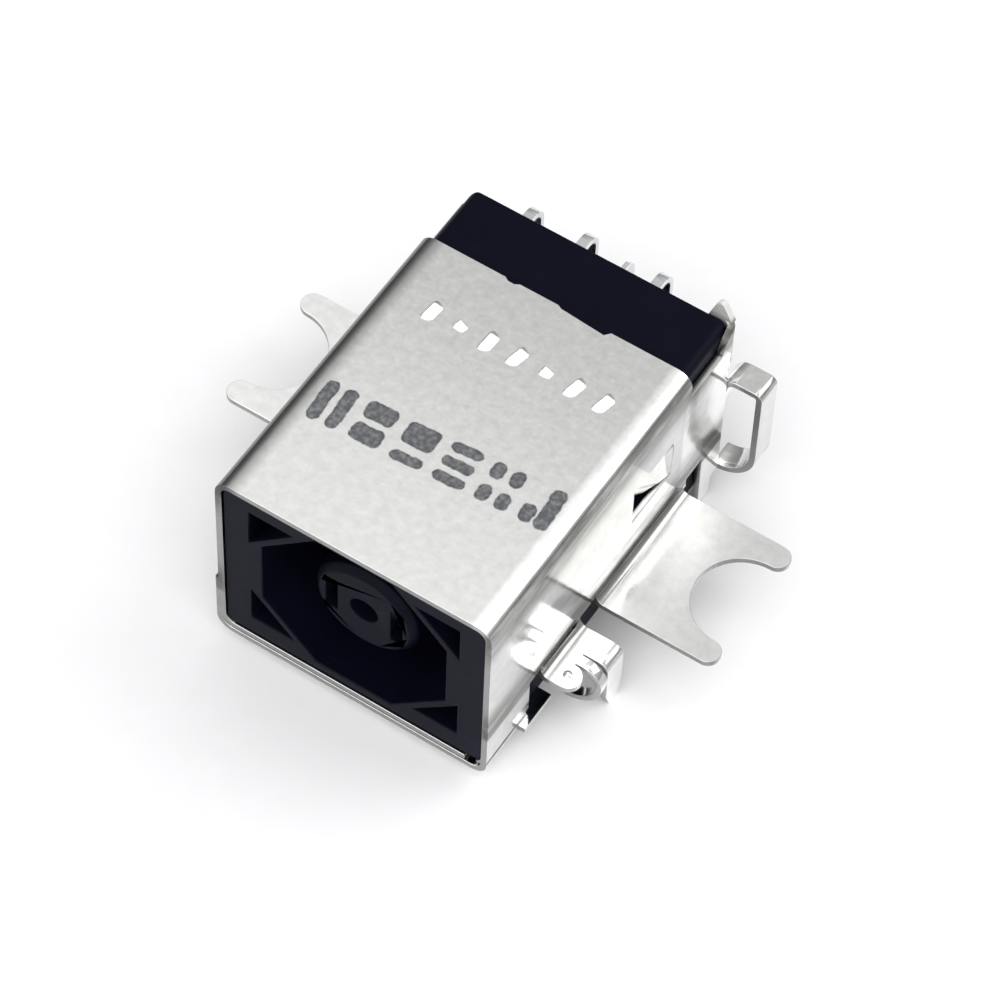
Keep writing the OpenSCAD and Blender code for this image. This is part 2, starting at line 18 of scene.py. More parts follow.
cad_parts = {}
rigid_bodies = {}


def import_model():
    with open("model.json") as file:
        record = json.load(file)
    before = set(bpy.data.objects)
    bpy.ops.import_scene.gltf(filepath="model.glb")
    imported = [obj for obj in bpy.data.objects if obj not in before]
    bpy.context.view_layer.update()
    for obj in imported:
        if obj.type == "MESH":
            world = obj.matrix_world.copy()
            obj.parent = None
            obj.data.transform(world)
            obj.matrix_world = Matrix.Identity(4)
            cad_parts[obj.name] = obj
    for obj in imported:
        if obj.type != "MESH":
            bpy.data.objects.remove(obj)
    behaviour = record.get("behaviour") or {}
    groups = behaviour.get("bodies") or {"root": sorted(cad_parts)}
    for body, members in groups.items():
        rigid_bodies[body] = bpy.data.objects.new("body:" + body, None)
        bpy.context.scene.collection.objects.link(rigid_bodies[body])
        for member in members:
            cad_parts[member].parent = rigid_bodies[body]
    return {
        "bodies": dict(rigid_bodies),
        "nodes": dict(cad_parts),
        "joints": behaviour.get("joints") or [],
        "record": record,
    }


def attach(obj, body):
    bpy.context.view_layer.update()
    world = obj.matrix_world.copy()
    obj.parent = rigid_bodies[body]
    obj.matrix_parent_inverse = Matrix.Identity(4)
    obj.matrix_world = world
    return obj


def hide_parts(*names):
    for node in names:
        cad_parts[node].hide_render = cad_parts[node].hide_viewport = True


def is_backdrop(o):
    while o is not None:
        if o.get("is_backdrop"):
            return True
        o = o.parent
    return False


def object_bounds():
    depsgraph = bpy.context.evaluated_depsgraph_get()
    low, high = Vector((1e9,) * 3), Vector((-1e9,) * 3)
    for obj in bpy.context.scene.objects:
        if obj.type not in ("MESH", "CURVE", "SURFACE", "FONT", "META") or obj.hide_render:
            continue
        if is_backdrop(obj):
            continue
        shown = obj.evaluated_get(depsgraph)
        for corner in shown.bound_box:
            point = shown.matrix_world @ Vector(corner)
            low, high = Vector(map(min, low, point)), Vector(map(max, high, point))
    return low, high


LOG = logging.getLogger("dc_jack")
MM = 0.001
PER_MM = 1000.0
EDGE_LAYER = "edge"
CUT_LAYER = "cut"
Span = tuple[float, float]
Triple = tuple[float, float, float]
Colour = Triple
Socket = bpy.types.NodeSocket
Outputs = bpy.types.NodeOutputs
Sockets = tuple[Socket, Socket, Socket]


class Body(Enum):
    """Frame bodies that pieces ride on."""

    ROOT = "root"


class Slot(Enum):
    """Material slots named in the record."""

    STEEL = "plated_steel"
    MOULDING = "black_moulding"
    TINNED = "tinned_contact"


@dataclass(frozen=True)
class Ramp:
    """A smooth step: where it starts and ends, and the results there."""

    low: float
    high: float
    start: float = 0.0
    end: float = 1.0


class Graph:
    """Places and wires the nodes of one node tree."""

    def __init__(self, tree: bpy.types.NodeTree) -> None:
        """Keeps the tree that nodes go into.

        Args:
            tree: An empty or half-built node tree.
        """
        self.tree = tree

    @classmethod
    def of(cls, owner: bpy.types.Material | bpy.types.World) -> "Graph":
        """Returns the emptied graph of a material or a world."""
        owner.use_nodes = True
        owner.node_tree.nodes.clear()
        return cls(owner.node_tree)

    def node(self, kind: str, inputs: dict | None = None, **settings: object) -> bpy.types.Node:
        """Adds a node.

        Args:
            kind: Blender's name of the node type.
            inputs: Values or sockets, keyed by the name or number of the input.
            settings: Properties of the node, set before its inputs.

        Returns:
            The new node.
        """
        made = self.tree.nodes.new(kind)
        for name, value in settings.items():
            setattr(made, name, value)
        for key, value in (inputs or {}).items():
            self.feed(made.inputs[key], value)
        return made

    def feed(self, socket: Socket, value: object) -> None:
        """Links a socket to an input, or writes a value to it.

        Args:
            socket: The input that is fed.
            value: An output socket or a plain value.
        """
        if isinstance(value, bpy.types.NodeSocket):
            self.tree.links.new(value, socket)
        else:
            socket.default_value = value

    def math(self, operation: str, *values: object, clamp: bool = False) -> Socket:
        """Adds a Math node, or a chain of them for more than two values.

        Args:
            operation: The operation.
            values: The values or sockets, taken in turn.
            clamp: Whether each result is held between 0 and 1.

        Returns:
            The result's socket.
        """
        total, *others = values
        for value in others or (0.0,):
            inputs = {0: total, 1: value}
            made = self.node("ShaderNodeMath", inputs, operation=operation, use_clamp=clamp)
            total = made.outputs[0]
        return total

    def times(self, *factors: object) -> Socket:
        """Returns the socket of the factors' product."""
        return self.math("MULTIPLY", *factors)

    def scaled(self, vector: object, factor: object) -> Socket:
        """Returns the socket of a vector times a factor."""
        made = self.node("ShaderNodeVectorMath", {0: vector, "Scale": factor}, operation="SCALE")
        return made.outputs[0]

    def ramp(self, value: object, step: Ramp, unit: float = 1.0) -> Socket:
        """Adds a smooth step.

        Args:
            value: The value that is stepped.
            step: The step.
            unit: The unit that its two ends are written in.

        Returns:
            The result's socket.
        """
        inputs = {
            "Value": value,
            "From Min": step.low * unit,
            "From Max": step.high * unit,
            "To Min": step.start,
            "To Max": step.end,
        }
        made = self.node("ShaderNodeMapRange", inputs, interpolation_type="SMOOTHSTEP")
        return made.outputs["Result"]

    def mix(self, factor: object, first: object, second: object) -> Socket:
        """Adds a colour mix.

        Args:
            factor: How much of the second colour shows.
            first: The first colour or socket.
            second: The second colour or socket.

        Returns:
            The mixed colour's socket.
        """
        made = self.node("ShaderNodeMix", data_type="RGBA", blend_type="MIX", clamp_factor=True)
        self.feed(made.inputs["Factor"], factor)
        colours = [s for s in made.inputs if s.type == "RGBA"]
        for socket, colour in zip(colours, (first, second)):
            self.feed(socket, colour if isinstance(colour, bpy.types.NodeSocket) else (*colour, 1.0))
        return next(s for s in made.outputs if s.type == "RGBA")

    def noise(self, vector: object, scale: object, detail: float = 2.0, roughness: float = 0.5) -> Socket:
        """Adds a noise texture.

        Args:
            vector: The coordinates that it reads.
            scale: Its scale, in features per unit of the coordinates.
            detail: How many finer layers it has.
            roughness: How strong the finer layers are.

        Returns:
            The factor's socket, about 0.5 on average.
        """
        inputs = {"Vector": vector, "Scale": scale, "Detail": detail, "Roughness": roughness}
        return self.node("ShaderNodeTexNoise", inputs).outputs[0]

    def join(self, x: object = 0.0, y: object = 0.0, z: object = 0.0) -> Socket:
        """Returns the socket of the vector with the given parts."""
        return self.node("ShaderNodeCombineXYZ", {0: x, 1: y, 2: z}).outputs[0]

    def split(self, vector: object) -> Sockets:
        """Returns the sockets of a vector's three parts."""
        parts = self.node("ShaderNodeSeparateXYZ", {0: vector}).outputs
        return parts[0], parts[1], parts[2]


@dataclass(frozen=True)
class Band:
    """A stretch of one coordinate with soft ends, in millimetres."""

    start: float
    full: float
    leave: float
    end: float

    @classmethod
    def between(cls, low: float, high: float, soft: float) -> "Band":
        """Returns the stretch between two places, each as soft as the other."""
        return cls(low - soft, low + soft, high - soft, high + soft)

    def wire(self, graph: Graph, value: Socket) -> Socket:
        """Wires the mask of the stretch.

        Args:
            graph: The graph that it goes into.
            value: The coordinate.

        Returns:
            The mask, 1 inside the stretch.
        """
        rise = graph.ramp(value, Ramp(self.start, self.full), MM)
        fall = graph.ramp(value, Ramp(self.leave, self.end, 1.0, 0.0), MM)
        return graph.times(rise, fall)


@dataclass(frozen=True)
class Patch:
    """A box with soft sides in the part's own frame."""

    x: Band
    y: Band
    z: Band

    @classmethod
    def spanning(cls, x: Span, y: Span, z: Span, soft: float = 0.15) -> "Patch":
        """Returns the box between the given places, in millimetres."""
        return cls(*(Band.between(low, high, soft) for low, high in (x, y, z)))

    def wire(self, graph: Graph, place: Sockets) -> Socket:
        """Wires the mask of the box.

        Args:
            graph: The graph that it goes into.
            place: The three coordinates.

        Returns:
            The mask, 1 inside the box.
        """
        bands = zip((self.x, self.y, self.z), place)
        return graph.times(*(band.wire(graph, value) for band, value in bands))


class Effect:
    """A shader node group that several finishes share."""

    name = "effect"
    inputs: tuple[str, ...] = ()
    outputs: tuple[str, ...] = ()

    def __init__(self) -> None:
        """Builds the group's tree once: a vector and numbers in, numbers out."""
        self.tree = bpy.data.node_groups.new(self.name, "ShaderNodeTree")
        sockets = self.tree.interface
        sockets.new_socket("Vector", in_out="INPUT", socket_type="NodeSocketVector")
        for label in self.inputs:
            sockets.new_socket(label, in_out="INPUT", socket_type="NodeSocketFloat")
        for label in self.outputs:
            sockets.new_socket(label, in_out="OUTPUT", socket_type="NodeSocketFloat")
        graph = Graph(self.tree)
        source = graph.node("NodeGroupInput").outputs
        target = graph.node("NodeGroupOutput").inputs
        for label, socket in self.wire(graph, source).items():
            graph.feed(target[label], socket)

    def wire(self, graph: Graph, source: Outputs) -> dict[str, Socket]:
        """Wires the group.

        Args:
            graph: The group's graph.
            source: The group's inputs, by name.

        Returns:
            A socket for each of the group's outputs.
        """
        raise NotImplementedError

    def place(self, graph: Graph, *values: object) -> Outputs:
        """Places the group in a material.

        Args:
            graph: The material's graph.
            values: The vector and the numbers that go in, in turn.

        Returns:
            The group node's outputs.
        """
        made = graph.tree.nodes.new("ShaderNodeGroup")
        made.node_tree = self.tree
        for socket, value in zip(made.inputs, values):
            graph.feed(socket, value)
        return made.outputs


class Mottle(Effect):
    """Fine grain over broad, soft patches."""

    name = "mottle"
    inputs = ("Grain Scale", "Patch Scale")
    outputs = ("Grain", "Patches", "Height")
    grain_height = 0.35

    def wire(self, graph: Graph, source: Outputs) -> dict[str, Socket]:
        """Wires two sizes of noise and their sum.

        Args:
            graph: The group's graph.
            source: The group's inputs, by name.

        Returns:
            The grain, the patches and a height.
        """
        grain = graph.noise(source["Vector"], source["Grain Scale"], detail=4.0, roughness=0.6)
        patches = graph.noise(source["Vector"], source["Patch Scale"], detail=2.0)
        height = graph.math("ADD", graph.times(grain, self.grain_height), patches)
        return {"Grain": grain, "Patches": patches, "Height": height}


class Scuffs(Effect):
    """Sparse hairline marks in two directions."""

    name = "scuffs"
    inputs = ("Scale", "Threshold")
    outputs = ("Mask",)
    turns = ((0.1, 0.2, 0.35), (0.1, 0.2, 1.9))
    thinness = 14.0
    contrast = 14.0

    def wire(self, graph: Graph, source: Outputs) -> dict[str, Socket]:
        """Wires two stretched noises, cut off at the threshold.

        Args:
            graph: The group's graph.
            source: The group's inputs, by name.

        Returns:
            The mask of the marks.
        """
        marks = []
        for turn in self.turns:
            turned = graph.node(
                "ShaderNodeMapping",
                {"Vector": source["Vector"], "Rotation": turn, "Scale": (1.0, self.thinness, 1.0)},
            ).outputs[0]
            lines = graph.noise(turned, source["Scale"], detail=1.0, roughness=0.4)
            above = graph.math("SUBTRACT", lines, source["Threshold"])
            marks.append(graph.math("MULTIPLY", above, self.contrast, clamp=True))
        return {"Mask": graph.math("MAXIMUM", *marks)}


@dataclass(frozen=True)
class InkBar:
    """A bar or block of ink in the print's own frame, in millimetres."""

    x: float
    y: float
    width: float
    height: float


class InkRow(Effect):
    """A row of plain ink shapes printed across the top of the shield."""

    name = "ink_row"
    outputs = ("Mask", "Rim")
    centre = (0.1, 5.85)
    turn = math.radians(3.2)
    pitch = 1.92
    wobble_scale = 3.2
    ragged = 0.16
    soft = 0.04
    rim = 0.16
    corner = 0.28
    lowest = 4.8
    pair = tuple(InkBar(x, 0.0, 0.6, 2.1) for x in (-0.44, 0.44))
    two_blocks = tuple(InkBar(0.0, y, 1.4, 0.9) for y in (-0.58, 0.58))
    slab_and_bar = (InkBar(0.0, 0.42, 1.45, 1.15), InkBar(0.0, -0.78, 1.45, 0.52))
    stack = tuple(InkBar(0.0, y, 1.45, 0.52) for y in (-0.78, 0.0, 0.78))
    four_blocks = tuple(InkBar(x, y, 0.62, 0.82) for x in (-0.44, 0.44) for y in (-0.6, 0.6))
    steps = (InkBar(-0.4, -0.55, 0.62, 0.95), InkBar(0.32, 0.0, 0.66, 2.1))

    def marks(self) -> list[InkBar]:
        """Lists the row's bars and blocks, moved to their places along the row."""
        shapes = (self.pair, self.two_blocks, self.slab_and_bar, self.stack, self.four_blocks, self.steps)
        middle = (len(shapes) - 1) / 2
        return [
            replace(bar, x=bar.x + self.pitch * (number - middle))
            for number, shape in enumerate(shapes)
            for bar in shape
        ]

    def wire(self, graph: Graph, source: Outputs) -> dict[str, Socket]:
        """Wires the distance to each shape and a soft, ragged edge.

        Args:
            graph: The group's graph.
            source: The group's inputs, by name.

        Returns:
            The mask of the ink and that of its darker outline.
        """
        wobble = graph.node(
            "ShaderNodeTexNoise",
            {"Vector": source["Vector"], "Scale": self.wobble_scale * PER_MM},
        )
        offset = graph.node(
            "ShaderNodeVectorMath",
            {0: wobble.outputs["Color"], 1: (0.5, 0.5, 0.5)},
            operation="SUBTRACT",
        ).outputs[0]
        print_frame = graph.node(
            "ShaderNodeMapping",
            {
                "Vector": source["Vector"],
                "Location": (self.centre[0] * MM, self.centre[1] * MM, 0.0),
                "Rotation": (0.0, 0.0, self.turn),
                "Scale": (MM, MM, MM),
            },
            vector_type="TEXTURE",
        ).outputs[0]
        moved = graph.node(
            "ShaderNodeVectorMath", {0: print_frame, 1: graph.scaled(offset, self.ragged)}
        ).outputs[0]
        across, along, _ = graph.split(moved)
        bars = (self.bar(graph, across, along, bar) for bar in self.marks())
        nearest = graph.math("MINIMUM", *bars)
        _, _, height = graph.split(source["Vector"])
        on_top = graph.math("GREATER_THAN", height, self.lowest * MM)
        mask = graph.times(graph.ramp(nearest, Ramp(self.soft, -self.soft)), on_top)
        return {"Mask": mask, "Rim": graph.ramp(nearest, Ramp(-self.rim, 0.0))}

    def bar(self, graph: Graph, across: Socket, along: Socket, bar: InkBar) -> Socket:
        """Wires the distance to a bar.

        Args:
            graph: The group's graph.
            across: The print's first coordinate.
            along: The print's second coordinate.
            bar: The bar.

        Returns:
            The distance's socket, negative inside.
        """
        squares = []
        for coordinate, middle, size in ((across, bar.x, bar.width), (along, bar.y, bar.height)):
            off = graph.math("ABSOLUTE", graph.math("SUBTRACT", coordinate, middle))
            over = graph.math("MAXIMUM", graph.math("SUBTRACT", off, size / 2 - self.corner), 0.0)
            squares.append(graph.math("POWER", over, 2.0))
        return graph.math("SUBTRACT", graph.math("SQRT", graph.math("ADD", *squares)), self.corner)


@dataclass
class Effects:
    """The shared effects, built once."""

    mottle: Mottle = field(default_factory=Mottle)
    scuffs: Scuffs = field(default_factory=Scuffs)
    ink: InkRow = field(default_factory=InkRow)


@dataclass(frozen=True)
class Finish:
    """What every finish states: its name, colour, roughness and grain."""

    name: str
    colour: Colour
    roughness: float
    metallic: float = 1.0
    specular: float = 0.5
    grain_scale: float = 6.0
    patch_scale: float = 0.6
    tone_swing: float = 0.06
    rough_swing: float = 0.12
    bump: float = 0.02
    scuff_scale: float = 0.5
    scuff_threshold: float = 0.72
    scuff_tone: float = 0.12
    scuff_depth: float = 0.3
    edge_tone: float = 0.0
    grain_share: float = 0.6
    bump_depth: float = 0.2

    def material(self, effects: Effects) -> bpy.types.Material:
        """Builds the finish's material.

        Args:
            effects: The shared effects.

        Returns:
            The material.
        """
        made = bpy.data.materials.new(self.name)
        graph = Graph.of(made)
        place = graph.node("ShaderNodeTexCoord").outputs["Object"]
        grain, patches = self.grain_scale * PER_MM, self.patch_scale * PER_MM
        mottle = effects.mottle.place(graph, place, grain, patches)
        scuff_scale = self.scuff_scale * PER_MM
        scuffs = effects.scuffs.place(graph, place, scuff_scale, self.scuff_threshold)["Mask"]
        edge = graph.node("ShaderNodeAttribute", attribute_name=EDGE_LAYER).outputs["Fac"]
        tone = self.tone(graph, mottle, scuffs, edge)
        rough = graph.times(graph.math("SUBTRACT", mottle["Grain"], 0.5), self.rough_swing)
        shader = graph.node(
            "ShaderNodeBsdfPrincipled",
            {
                "Base Color": tone,
                "Metallic": self.metallic,
                "Specular IOR Level": self.specular,
                "Roughness": graph.math("ADD", rough, self.roughness, clamp=True),
            },
        )
        self.relief(graph, mottle["Height"], scuffs, shader)
        self.extra(graph, effects, place, shader)
        graph.node("ShaderNodeOutputMaterial", {"Surface": shader.outputs[0]})
        return made

    def tone(self, graph: Graph, mottle: Outputs, scuffs: Socket, edge: Socket) -> Socket:
        """Wires the colour over the surface.

        Args:
            graph: The material's graph.
            mottle: The outputs of the mottle effect.
            scuffs: The mask of the hairline marks.
            edge: The mask of the rounded edges.

        Returns:
            The colour's socket.
        """
        grain = graph.times(mottle["Grain"], self.grain_share)
        mean = (1.0 + self.grain_share) / 2
        swing = graph.math("ADD", mottle["Patches"], grain, -mean)
        swing = graph.times(swing, self.tone_swing * 2)
        scuffed = graph.times(scuffs, -self.scuff_tone)
        worn = graph.times(edge, self.edge_tone)
        return graph.scaled(self.colour, graph.math("ADD", swing, scuffed, worn, 1.0))

    def relief(self, graph: Graph, height: Socket, scuffs: Socket, shader: bpy.types.Node) -> None:
        """Wires the fine relief into the shader's normal.

        Args:
            graph: The material's graph.
            height: The mottle's height.
            scuffs: The mask of the hairline marks.
            shader: The material's shader.
        """
        depth = graph.math("SUBTRACT", height, graph.times(scuffs, self.scuff_depth))
        bump = graph.node(
            "ShaderNodeBump",
            {"Height": depth, "Strength": self.bump, "Distance": self.bump_depth * MM},
        )
        graph.feed(shader.inputs["Normal"], bump.outputs[0])

    def extra(self, graph: Graph, effects: Effects, place: Socket, shader: bpy.types.Node) -> None:
        """Adds what only one finish has. A plain finish adds nothing."""


@dataclass(frozen=True)
class PlatedSteel(Finish):
    """Tin-plated sheet with the ink row on its top, painted shade on the left fold, the creases, the ears
    and the cut edges, painted light in patches and painted dark reflections in bands on the walls.

    Places are in millimetres. A tone is a share of the colour, and a roughness is what
    a place adds, except bright_roughness, which is the whole of it below the top.
    """

    wall: Band = Band(6.05, 6.35, 6.58, 6.7)
    # Painted shade: the left fold is painted darker, standing for its dark reflection.
    fold_across: Ramp = Ramp(-5.15, -6.2)
    fold_up: Ramp = Ramp(3.65, 4.2)
    painted_fold_shade_tone: float = 0.8
    # Painted shade: the inner creases at the ear folds are painted darker.
    crease_bend: Ramp = Ramp(0.06, 0.35)
    crease_below: Ramp = Ramp(3.0, 2.7)
    painted_crease_shade_tone: float = 0.5
    # Painted shade: cut edges that face forward or down are painted darker.
    cut_facing: Ramp = Ramp(0.1, -0.7)
    painted_cut_shade_tone: float = 0.55
    cut_roughness: float = 0.2
    # Painted shade: the ear plates are painted a little darker.
    ear_along: Band = Band.between(7.8, 15.1, 0.2)
    ear_out: Ramp = Ramp(7.2, 7.8)
    painted_ear_shade_tone: float = 0.08
    ear_roughness: float = 0.24
    # Painted light: the sheet is painted brighter in these boxes, on the right bend, the right tab, the
    # left ear and the rear of the right wall.
    painted_light_patches: tuple[Patch, ...] = (
        Patch.spanning((5.6, 6.25), (-1.0, 16.0), (4.6, 6.0)),
        Patch.spanning((6.9, 10.6), (3.4, 7.3), (-8.0, -2.6)),
        Patch.spanning((-13.0, -6.7), (7.4, 15.2), (-4.0, -2.6)),
        Patch.spanning((6.3, 6.7), (14.4, 18.6), (-6.0, 3.4)),
    )
    painted_light_tone: float = 0.36
    # Painted dark reflections: streaky dark bands along both walls, below the top bends and above the ear
    # folds.
    painted_reflection_bands: tuple[Band, ...] = (Band(2.2, 3.95, 4.6, 4.9), Band(-3.0, -2.75, -2.0, -0.3))
    painted_band_stretch: float = 0.16
    painted_band_scale: float = 2.4
    painted_band_streaks: Ramp = Ramp(0.3, 0.62, 0.62, 1.0)
    painted_band_tone: float = 0.9
    painted_band_colour: Colour = (0.11, 0.107, 0.098)
    # Painted reflection: a slanting dark band on the right wall, where the wall would mirror the dark gap
    # between the ear and the tab.
    gap_reflection_at: float = 5.85
    gap_reflection_slant: float = 1.1
    gap_reflection_off: Ramp = Ramp(0.2, 1.1, 0.8, 0.0)
    gap_reflection_up: Band = Band(-1.8, -0.6, 0.8, 2.0)
    tip_along: Ramp = Ramp(17.4, 17.6)
    tip_up: Ramp = Ramp(4.1, 4.4)
    tip_roughness: float = 0.45
    top: Ramp = Ramp(4.75, 4.93)
    bright_roughness: float = 0.13
    speckle_scale: float = 5.0
    speckle: Ramp = Ramp(0.35, 0.75, 1.0, 0.85)
    ink: Colour = (0.06, 0.063, 0.07)
    ink_rim: Colour = (0.035, 0.037, 0.043)
    ink_roughness: float = 0.3

    def extra(self, graph: Graph, effects: Effects, place: Socket, shader: bpy.types.Node) -> None:
        """Paints shade and light on the sheet and dark reflection bands on its walls, prints the ink row
        and sets the gloss.

        Args:
            graph: The material's graph.
            effects: The shared effects.
            place: Object coordinates.
            shader: The material's shader.
        """
        x, y, z = graph.split(place)
        out = graph.math("ABSOLUTE", x)
        cut = graph.node("ShaderNodeAttribute", attribute_name=CUT_LAYER).outputs["Fac"]
        ear = graph.times(self.ear_along.wire(graph, y), graph.ramp(out, self.ear_out, MM))
        # Painted shade on the left fold, the cut edges, the creases and the ears, and painted light in
        # the patches.
        darker = self.darker(graph, (x, y, z), cut) + [(ear, self.painted_ear_shade_tone)]
        patches = (patch.wire(graph, (x, y, z)) for patch in self.painted_light_patches)
        painted_light = graph.math("MAXIMUM", *patches)
        shade = graph.math("ADD", 1.0, graph.times(painted_light, self.painted_light_tone))
        for mask, amount in darker:
            kept = graph.math("SUBTRACT", 1.0, graph.times(mask, amount))
            shade = graph.times(shade, kept)
        # Painted dark reflection bands on the walls, mixed towards a dark colour.
        painted_bands = graph.times(self.painted_bands(graph, place), self.wall.wire(graph, out))
        plain = shader.inputs["Base Color"].links[0].from_socket
        shaded_sheet = graph.mix(painted_bands, graph.scaled(plain, shade), self.painted_band_colour)
        cover = self.print_ink(graph, effects, place, shaded_sheet, shader)
        below_top = graph.math("SUBTRACT", 1.0, graph.ramp(z, self.top, MM))
        tip = graph.times(graph.ramp(y, self.tip_along, MM), graph.ramp(z, self.tip_up, MM))
        rough = shader.inputs["Roughness"].links[0].from_socket
        for mask, amount in (
            (below_top, self.bright_roughness - self.roughness),
            (ear, self.ear_roughness),
            (tip, self.tip_roughness),
            (cut, self.cut_roughness),
            (cover, self.ink_roughness),
        ):
            rough = graph.math("ADD", rough, graph.times(mask, amount))
        graph.feed(shader.inputs["Roughness"], graph.math("ADD", rough, 0.0, clamp=True))

    def darker(self, graph: Graph, place: Sockets, cut: Socket) -> list[tuple[Socket, float]]:
        """Wires the masks of painted shade on the left fold, on the cut edges that face forward or down,
        and in the inner creases.

        Args:
            graph: The material's graph.
            place: The three object coordinates.
            cut: The mask of the cut edges.

        Returns:
            Each mask with how much darker it makes the sheet.
        """
        x, _, z = place
        normal = graph.node("ShaderNodeNewGeometry").outputs
        _, facing_y, facing_z = graph.split(normal["True Normal"])
        smooth_x, _, smooth_z = graph.split(normal["Normal"])
        fold = graph.times(graph.ramp(x, self.fold_across, MM), graph.ramp(z, self.fold_up, MM))
        forward, low = (graph.ramp(facing, self.cut_facing) for facing in (facing_y, facing_z))
        cut_shade = graph.times(cut, graph.math("MAXIMUM", forward, low))
        bend = graph.ramp(graph.times(smooth_x, smooth_z), self.crease_bend)
        crease = graph.times(bend, graph.ramp(z, self.crease_below, MM))
        return [(fold, self.painted_fold_shade_tone), (cut_shade, self.painted_cut_shade_tone), (crease, self.painted_crease_shade_tone)]

    def painted_bands(self, graph: Graph, place: Socket) -> Socket:
        """Wires the streaky dark bands along the walls, which are painted dark reflections.

        Args:
            graph: The material's graph.
            place: Object coordinates.

        Returns:
            The mask of the bands.
        """
        x, y, z = graph.split(place)
        stretched = graph.node(
            "ShaderNodeMapping",
            {"Vector": place, "Scale": (1.0, self.painted_band_stretch, 1.0)},
        ).outputs[0]
        noise = graph.noise(stretched, self.painted_band_scale * PER_MM, detail=3.0)
        streaks = graph.ramp(noise, self.painted_band_streaks)
        bands = (band.wire(graph, z) for band in self.painted_reflection_bands)
        banded = graph.math("MAXIMUM", *bands, self.painted_gap_reflection(graph, (x, y, z)))
        return graph.times(banded, streaks, self.painted_band_tone)

    def painted_gap_reflection(self, graph: Graph, place: Sockets) -> Socket:
        """Wires the slanting dark band on the right wall between the ear and the tab, a painted
        reflection of the dark gap between them.

        Args:
            graph: The material's graph.
            place: The three object coordinates.

        Returns:
            The mask of the band.
        """
        x, y, z = place
        along = graph.math("ADD", y, graph.times(z, self.gap_reflection_slant))
        off = graph.math("ABSOLUTE", graph.math("SUBTRACT", along, self.gap_reflection_at * MM))
        middle = graph.ramp(off, self.gap_reflection_off, MM)
        right = graph.math("GREATER_THAN", x, 0.0)
        return graph.times(middle, self.gap_reflection_up.wire(graph, z), right)

    def print_ink(
        self, graph: Graph, effects: Effects, place: Socket, shaded_sheet: Socket, shader: bpy.types.Node
    ) -> Socket:
        """Prints the ink row over the sheet's colour.

        Args:
            graph: The material's graph.
            effects: The shared effects.
            place: Object coordinates.
            shaded_sheet: The sheet's colour, with its painted shade, light and reflections.
            shader: The material's shader.

        Returns:
            The mask of the ink.
        """
        ink = effects.ink.place(graph, place)
        noise = graph.noise(place, self.speckle_scale * PER_MM, detail=3.0)
        cover = graph.times(ink["Mask"], graph.ramp(noise, self.speckle))
        tone = graph.mix(ink["Rim"], self.ink, self.ink_rim)
        graph.feed(shader.inputs["Base Color"], graph.mix(cover, shaded_sheet, tone))
        graph.feed(shader.inputs["Metallic"], graph.math("SUBTRACT", 1.0, cover))
        return cover


STEEL = PlatedSteel(
    name="plated_steel",
    colour=(0.72, 0.725, 0.71),
    roughness=0.22,
    grain_scale=5.0,
    patch_scale=2.2,
    tone_swing=0.13,
    rough_swing=0.1,
    scuff_threshold=0.76,
    scuff_tone=0.04,
)
MOULDING = Finish(
    name="black_moulding",
    colour=(0.0022, 0.0026, 0.0075),
    roughness=0.42,
    metallic=0.0,
    specular=0.05,
    grain_scale=14.0,
    tone_swing=0.25,
    bump=0.05,
    scuff_tone=-0.5,
    edge_tone=0.6,
)
TINNED = Finish(
    name="tinned_contact",
    colour=(0.70, 0.71, 0.72),
    roughness=0.22,
    grain_scale=8.0,
    bump=0.03,
)


def apply_modifiers(piece: bpy.types.Object) -> None:
    """Gives the object the mesh that its modifiers make, and removes them.

    Args:
        piece: The object.
    """
    graph = bpy.context.evaluated_depsgraph_get()
    graph.update()
    finished = bpy.data.meshes.new_from_object(piece.evaluated_get(graph))
    piece.modifiers.clear()
    piece.data = finished


